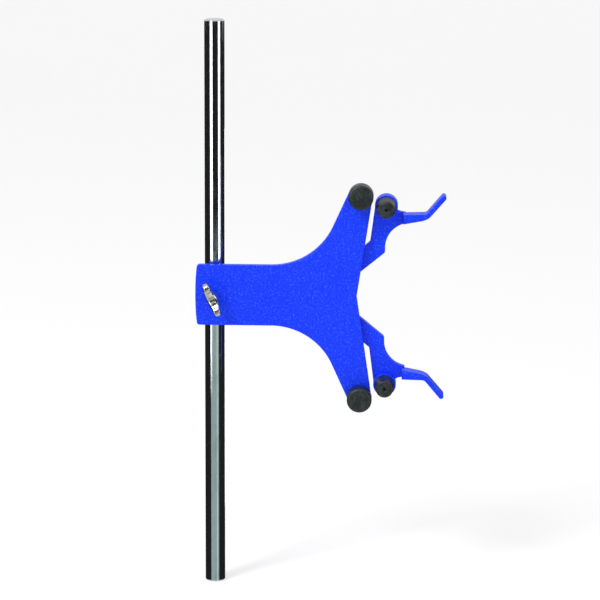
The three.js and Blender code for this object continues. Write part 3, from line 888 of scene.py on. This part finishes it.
def strip_sides():
    """The lever's strip, anticlockwise, with a spine from a ring round the pivot through the bend
    to the middle of its round end."""
    ring_open = on_circle(PIVOT, PIVOT_BORE, HEADING)
    near = 8  # the ring takes the strip's edges up to here
    inner_reach = LEVER_END - INNER_CORNER
    end_radius = LEVER_END_RADIUS - 0.3  # the strip stops just inside its round end
    inner = np.angle(inner_reach) + math.asin(end_radius / abs(inner_reach)) + math.pi / 2
    shoulder = -math.pi / 9
    shoulder_point = on_circle(LEVER_END, end_radius, shoulder)
    corner_in, corner_out = OUTER_CORNER - 0.9 - 0.7j, OUTER_CORNER + 1.2j
    hollow_start = FINGER_HOLLOW - FINGER_HOLLOW_RADIUS
    hollow_end = on_circle(FINGER_HOLLOW, FINGER_HOLLOW_RADIUS, FINGER_HOLLOW_END)
    neck_side = TAB_ROOT_HIGH.real + 1.5 + 1j * (NECK_TOP.imag - 0.4)
    return np.concatenate([
        side(arc(PIVOT, PIVOT_BORE, HEADING, HEADING + 2 * math.pi),
             (straight(along_lever(near, STRIP_HALF), along_lever(0, STRIP_HALF)), 10),
             (arc(PIVOT, STRIP_HALF, HEADING + math.pi / 2, HEADING + 1.5 * math.pi), 44),
             (straight(along_lever(0, -STRIP_HALF), along_lever(near, -STRIP_HALF)), 10)),
        side(straight(ring_open, LEVER_BEND),
             (straight(along_lever(near, -STRIP_HALF), corner_in), 12),
             (bend(corner_in, OUTER_CORNER, corner_out), 8)),
        side(straight(LEVER_BEND, LEVER_END),
             (straight(corner_out, hollow_start), 3),
             (arc(FINGER_HOLLOW, FINGER_HOLLOW_RADIUS, math.pi, FINGER_HOLLOW_END), 27),
             (straight(hollow_end, neck_side), 4),
             (straight(neck_side, NECK_TOP), 2),
             (bend(NECK_TOP, NECK_TOP - 2.4 + 0.3j, shoulder_point), 6)),
        side(rest_at(LEVER_END), (arc(LEVER_END, end_radius, shoulder, inner), 40)),
        side(straight(LEVER_END, LEVER_BEND),
             (straight(on_circle(LEVER_END, end_radius, inner), INNER_CORNER), 42)),
        side(straight(LEVER_BEND, ring_open),
             (straight(INNER_CORNER, along_lever(near, STRIP_HALF)), 20)),
    ], axis=1)


def tab_sides():
    """The finger tab's outline, anticlockwise from its root: the lower edge, the knee, the blade,
    its round tip and the way back, with a spine down the middle."""
    across = 1j * np.exp(1j * TAB_SLOPE) * TAB_BLADE / 2
    root = TAB_ROOT_LOW / 2 + TAB_ROOT_HIGH / 2 + 2.6
    middle = TAB_KNEE + 0.6 - 1.3j
    low_start = TAB_KNEE - 3 - 4.1j
    low_end = TAB_KNEE - 2 * across + 0.4 + 0.8j
    high_start = TAB_KNEE + 0.5 + 0.7j
    high_end = TAB_KNEE - 1.6 - 0.1j
    low_bend = bend(low_start, TAB_KNEE + 1 - 3.2j, low_end)
    return np.concatenate([
        side(straight(root, middle),
             (straight(TAB_ROOT_LOW, low_start), 9),
             (part(low_bend, 0, 0.5), 4)),
        side(straight(middle, TAB_TIP),
             (part(low_bend, 0.5, 1), 4),
             (straight(low_end, TAB_TIP - across), 14)),
        side(rest_at(TAB_TIP),
             (arc(TAB_TIP, TAB_BLADE / 2, TAB_SLOPE - math.pi / 2, TAB_SLOPE + math.pi / 2), 20)),
        side(straight(TAB_TIP, middle), (straight(TAB_TIP + across, high_start), 18)),
        side(straight(middle, root),
             (bend(high_start, TAB_KNEE - 0.2, high_end), 4),
             (straight(high_end, TAB_ROOT_HIGH), 9)),
        side(rest_at(root), (straight(TAB_ROOT_HIGH, TAB_ROOT_LOW), 4)),
    ], axis=1)


def lever_bore(ring):
    """The wall of the pivot's bore, from its back edge to its front edge."""
    depth = np.array([LEVER_BACK, LEVER_FRONT])[:, None]
    return upright(ring + 0 * depth, depth + 0 * ring.real)


def levers():
    """Each lever: its strip, its raised round end, its finger tab and its spring's peg."""
    strip = strip_sides()
    ring = strip[1][np.isclose(abs(strip[1] - PIVOT), PIVOT_BORE)]
    end_back = LEVER_BACK - 0.12  # just inside the strip's back face
    round_end = turned([
        (0, LEVER_END_TOP, 0),
        (LEVER_END_RADIUS, LEVER_END_TOP, LEVER_EDGE),
        (LEVER_END_RADIUS, end_back, LEVER_EDGE),
        (0, end_back, 0),
    ], LEVER_END)
    peg = turned([
        (0, LEVER_BACK - BURIED, 0),
        (LEVER_PEG_RADIUS, LEVER_BACK - BURIED, 0),
        (LEVER_PEG_RADIUS, LEVER_BACK + LEVER_PEG_LENGTH, 0.4),
        (0, LEVER_BACK + LEVER_PEG_LENGTH, 0),
    ], along_lever(LEVER_PEG_DISTANCE, 0), sides=36)
    grids = [
        slab(strip, LEVER_FRONT, LEVER_BACK, LEVER_EDGE),
        lever_bore(ring),
        round_end,
        slab(tab_sides(), TAB_FRONT, TAB_FRONT + TAB_DEPTH, TAB_EDGE),
        peg,
    ]
    for end, turn in ENDS:
        piece(f"{end}_lever_casting", [turn(grid) for grid in grids], "blue_coat", f"{end}_lever",
              f"{end}_lever")


# -------------------------------- the pivots and springs


def pivot_pin(end):
    """A shouldered pin with a groove for its clip."""
    centre, radius, front, back = round_place(f"{end}_pivot_pin")
    clip_low, clip_high = span(f"{end}_retaining_clip")
    groove_front, groove_back = clip_low[1] - 0.2, clip_high[1] + 0.2
    spigot = groove = 2.2
    shoulder = PLATE_BACK + GAP
    return turned([
        (0, front, 0),
        (spigot, front, 0.2),
        (spigot, shoulder, 0),
        (radius, shoulder, 0.2),
        (radius, groove_front, 0.1),
        (groove, groove_front, 0),
        (groove, groove_back, 0),
        (radius, groove_back, 0.1),
        (radius, back, 0.5),
        (0, back, 0),
    ], centre, sides=64, steps=4)


def washer_ring(node):
    """A flat washer with softened edges."""
    centre, radius, front, back = round_place(node)
    middle = (front + back) / 2
    return turned([
        (PIVOT_BORE, middle, 0),
        (PIVOT_BORE, front, 0.1),
        (radius, front, 0.1),
        (radius, back, 0.1),
        (PIVOT_BORE, back, 0.1),
        (PIVOT_BORE, middle, 0),
    ], centre, sides=64, steps=4)


def clip_sides(centre):
    """An E clip about the pin: a round outer edge, an inner edge of radius
    grip + slack sin^2(3 pi share) that grips the pin, and a mouth that faces away from the rod."""
    mouth = 0.9
    outer, grip, slack = 5.2, 2.5, 0.75
    middle = (outer + grip) / 2 + 0.2

    def inner_edge(share):
        radius = grip + slack * np.sin(3 * math.pi * share) ** 2
        return on_circle(centre, radius, 2 * (mouth - math.pi) * share - mouth)

    first = mouth + 0.15  # the spine stops short of the mouth
    last = 2 * math.pi - first
    start = on_circle(centre, outer, mouth)
    end = on_circle(centre, outer, -mouth)
    return np.concatenate([
        side(arc(centre, middle, first, last), (arc(centre, outer, mouth, 2 * math.pi - mouth), 32)),
        side(arc(centre, middle, last, last), (straight(end, inner_edge(0)), 5)),
        side(arc(centre, middle, last, first), (inner_edge, 32)),
        side(arc(centre, middle, first, first), (straight(inner_edge(1), start), 5)),
    ], axis=1)


def spring_wire():
    """The torsion spring's wire as one tube: a leg along the lever's peg, a helix about the pivot,
    and a leg along the casting's peg. Round the wire, a point lies along the coil's radius and along
    the cross product of that radius with the wire's direction. Both ends are half spheres."""
    def leg(distance, peg_radius):
        offset = COIL_RADIUS + WIRE_RADIUS + GAP + peg_radius
        return math.acos(offset / distance), math.sqrt(distance**2 - offset**2) + WIRE_SPARE

    moving_turn, moving_length = leg(LEVER_PEG_DISTANCE, LEVER_PEG_RADIUS)
    fixed_turn, fixed_length = leg(SPRING_PEG_DISTANCE, SPRING_PEG_RADIUS)
    first = HEADING + moving_turn
    last = SPRING_PEG_HEADING - fixed_turn + 2 * math.pi * COIL_TURNS
    cap = np.linspace(0, math.pi / 2, 6)
    along = np.linspace(0, 1, 12)
    coil = np.linspace(0, 1, COIL_STEPS)
    leg_rows = cap.size + along.size - 1
    share = np.concatenate([np.zeros(leg_rows), coil, np.ones(leg_rows)])
    angle = first + share * (last - first)
    slide = np.concatenate([
        -moving_length - WIRE_RADIUS * np.cos(cap),
        moving_length * (along[:-1] - 1),
        0 * coil,
        fixed_length * along[1:],
        fixed_length + WIRE_RADIUS * np.sin(cap),
    ])
    wide = np.full(slide.size, WIRE_RADIUS)
    wide[:cap.size] *= np.sin(cap)
    wide[-cap.size:] *= np.cos(cap)
    out = np.exp(1j * angle)
    centre_line = PIVOT + out * COIL_RADIUS + 1j * out * slide
    middle = upright(centre_line, COIL_START + share * (COIL_END - COIL_START))
    radial = upright(out, 0 * share)
    rise = (COIL_END - COIL_START) / ((last - first) * COIL_RADIUS)
    ahead = upright(1j * out, np.where((share > 0) & (share < 1), rise, 0))
    ahead /= np.linalg.norm(ahead, axis=-1, keepdims=True)
    beside = np.cross(radial, ahead)
    around = 2 * math.pi * shares(20)[:, None]
    ring = np.cos(around) * radial[:, None] + np.sin(around) * beside[:, None]
    return middle[:, None] + wide[:, None, None] * ring


def pivots():
    """Each pivot's pin, washers, clip and torsion spring."""
    wire_grid = spring_wire()
    for end, turn in ENDS:
        pin = pivot_pin(end)
        piece(f"{end}_pin", [pin], "plain_steel", "clamp", f"{end}_pivot_pin")
        for washer in ("thrust_washer", "back_washer"):
            ring = washer_ring(f"{end}_{washer}")
            piece(f"{end}_{washer}_ring", [ring], "plain_steel", "clamp", f"{end}_{washer}")
        front, back = span(f"{end}_retaining_clip")
        clip = slab(clip_sides(PIVOT), front[1], back[1], CLIP_EDGE)
        piece(f"{end}_clip", [turn(clip)], "spring_steel", "clamp", f"{end}_retaining_clip")
        spring = piece(f"{end}_spring_wire", [turn(wire_grid)], "spring_steel", None,
                       f"{end}_torsion_spring")
        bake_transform(spring)


def studs():
    """The hidden cores of the jaws: a stud in the rubber, and a spigot into the casting behind."""
    for end in ("upper", "lower"):
        for stud, spigot, seat, body in (
            ("jaw_stud", 2, PLATE_FRONT, "clamp"),
            ("lever_stud", 1.7, LEVER_END_TOP, f"{end}_lever"),
        ):
            centre, radius, front, back = round_place(f"{end}_{stud}")
            core = turned([
                (0, front, 0),
                (radius, front, 0.4),
                (radius, seat - GAP, 0.1),
                (spigot, seat - GAP, 0),
                (spigot, back, 0.3),
                (0, back, 0),
            ], centre, sides=48, steps=4)
            piece(f"{end}_{stud}_core", [core], "plain_steel", body, f"{end}_{stud}")


support_rod()
clamp_casting()
wing_screw()
pressure_pad()
jaws()
levers()
pivots()
studs()

# -------------------------------- stage, light and camera

CAMERA_AZIMUTH = 2  # degrees towards the jaws


def stage_sheet(name, grid, material, **shown_to):
    """A sheet of the studio, which is open at its edges, and which rays see it."""
    rows, columns = grid.shape[:2]
    number = np.arange(rows * columns).reshape(rows, columns)
    quads = np.stack([number[:-1, :-1], number[1:, :-1], number[1:, 1:], number[:-1, 1:]], -1)
    made = smooth_object(name, grid.reshape(-1, 3), quads.reshape(-1, 4).tolist(), material)
    for ray, shown in shown_to.items():
        setattr(made, f"visible_{ray}", shown)


def glow(name, colour, strength):
    """A card that gives off light evenly."""
    material, tree, _ = new_material(name)
    tree.nodes.clear()
    light = tree.nodes.new("ShaderNodeEmission")
    light.inputs["Color"].default_value = (*colour, 1)
    light.inputs["Strength"].default_value = strength
    out = tree.nodes.new("ShaderNodeOutputMaterial")
    tree.links.new(light.outputs["Emission"], out.inputs["Surface"])
    return material


def studio_sweep():
    """The pale floor and the wall behind it: a floor line, a quarter circle and a wall line,
    carried from side to side."""
    half_width, floor_end, radius, wall_top = 4, 2.6, 0.8, 3.5  # metres
    turn = np.linspace(0, math.pi / 2, 24)
    curve = floor_end + radius * (np.sin(turn) + 1j * (1 - np.cos(turn)))
    profile = np.concatenate([[-half_width], curve, [floor_end + radius + 1j * wall_top]])
    across = np.linspace(-half_width, half_width, 9)
    grid = np.stack(np.broadcast_arrays(across[:, None], profile.real, profile.imag), axis=-1)
    material, tree, paper = new_material("pale paper")
    tone = noise(tree, object_place(tree), 1.5, detail=2)
    feed(tree, mix_colour(tree, tone, (0.58, 0.58, 0.58, 1), (0.60, 0.60, 0.60, 1)),
         paper["Base Color"])
    paper["Emission Color"].default_value = (1, 1, 1, 1)
    paper["Emission Strength"].default_value = 0.43
    paper["Roughness"].default_value = 1.0
    paper["Specular IOR Level"].default_value = 0.0
    stage_sheet("pale_sweep", grid[:, ::-1], material, glossy=False)


def card(name, bearing, low, high, distance, material):
    """An upright curved card that only reflections see, on a circle about the rod. Its bearings
    count in degrees from the camera's side of the rod towards the jaws, the rest is in metres."""
    first, last = np.radians(np.array(bearing) + CAMERA_AZIMUTH)
    angle = np.linspace(first, last, 24)
    x, y = distance * np.sin(angle), -distance * np.cos(angle)
    grid = np.stack(np.broadcast_arrays(x, y, np.array([[low], [high]])), axis=-1)
    stage_sheet(name, grid, material, camera=False, diffuse=False, transmission=False,
                volume_scatter=False, shadow=False)


def reflection_cards():
    """Dark flags all round, bright strips to the left, to the right and behind, and a grey table
    with a paler edge: they draw the long light and dark lines on the rod."""
    black = glow("black flag", (0.014, 0.017, 0.018), 1)
    card("dark_flags", (-180, 180), -1.2, 0.20, 1.5, black)
    card("front_flag", (-100, 100), 0.20, 1.3, 1.5, black)
    white = glow("white strip", (1, 1, 1), 2.4)
    card("left_strip", (-50, -22), -0.06, 0.6, 1.2, white)
    card("left_tail", (-50, -34), -0.15, -0.06, 1.2, white)
    card("right_strip", (44, 68), -0.04, 0.6, 1.2, white)
    card("back_strip", (164, 184), -0.3, 0.1, 1.2, white)
    card("table_glow", (-46, 46), -0.9, -0.06, 1.3, glow("grey table", (0.33, 0.42, 0.41), 1))
    card("table_line", (22, 31), -0.9, -0.06, 1.25, glow("table edge", (0.62, 0.78, 0.77), 1))


def area_light(name, place, aim, size, power):
    light = bpy.data.lights.new(name, "AREA")
    light.size = size
    light.energy = power
    made = bpy.data.objects.new(name, light)
    made.location = place
    made.rotation_euler = (Vector(aim) - Vector(place)).to_track_quat("-Z", "Y").to_euler()
    bpy.context.scene.collection.objects.link(made)


def lights():
    """A key from the upper left in front, a wide weak fill from the right, and a white room."""
    middle = (0.05, 0, 0.18)
    area_light("key_light", (-0.9, -1.1, 1.5), middle, 0.5, 18)
    area_light("fill_light", (1.6, -1.6, 0.6), middle, 1.2, 5)
    world = bpy.data.worlds.new("white room")
    world.use_nodes = True
    background = world.node_tree.nodes["Background"]
    background.inputs["Color"].default_value = (1, 1, 1, 1)
    background.inputs["Strength"].default_value = 0.74
    bpy.context.scene.world = world


def camera():
    """From the front, a little above and towards the jaws, rolled to stand the rod upright."""
    azimuth, elevation, roll = np.radians((CAMERA_AZIMUTH, 12, 0.25))
    distance = 1.685
    aim = Vector((0.0513, 0, CLAMP_HEIGHT * MM - 0.005))
    data = bpy.data.cameras.new("camera")
    data.sensor_width = 36
    data.lens = 168
    made = bpy.data.objects.new("camera", data)
    back = Vector((math.sin(azimuth) * math.cos(elevation),
                   -math.cos(azimuth) * math.cos(elevation), math.sin(elevation)))
    made.location = aim + back * distance
    made.rotation_mode = "QUATERNION"
    made.rotation_quaternion = (-back).to_track_quat("-Z", "Y") @ Quaternion((0, 0, 1), roll)
    bpy.context.scene.collection.objects.link(made)
    bpy.context.scene.camera = made


studio_sweep()
reflection_cards()
lights()
camera()
bpy.context.scene.view_settings.view_transform = "Standard"
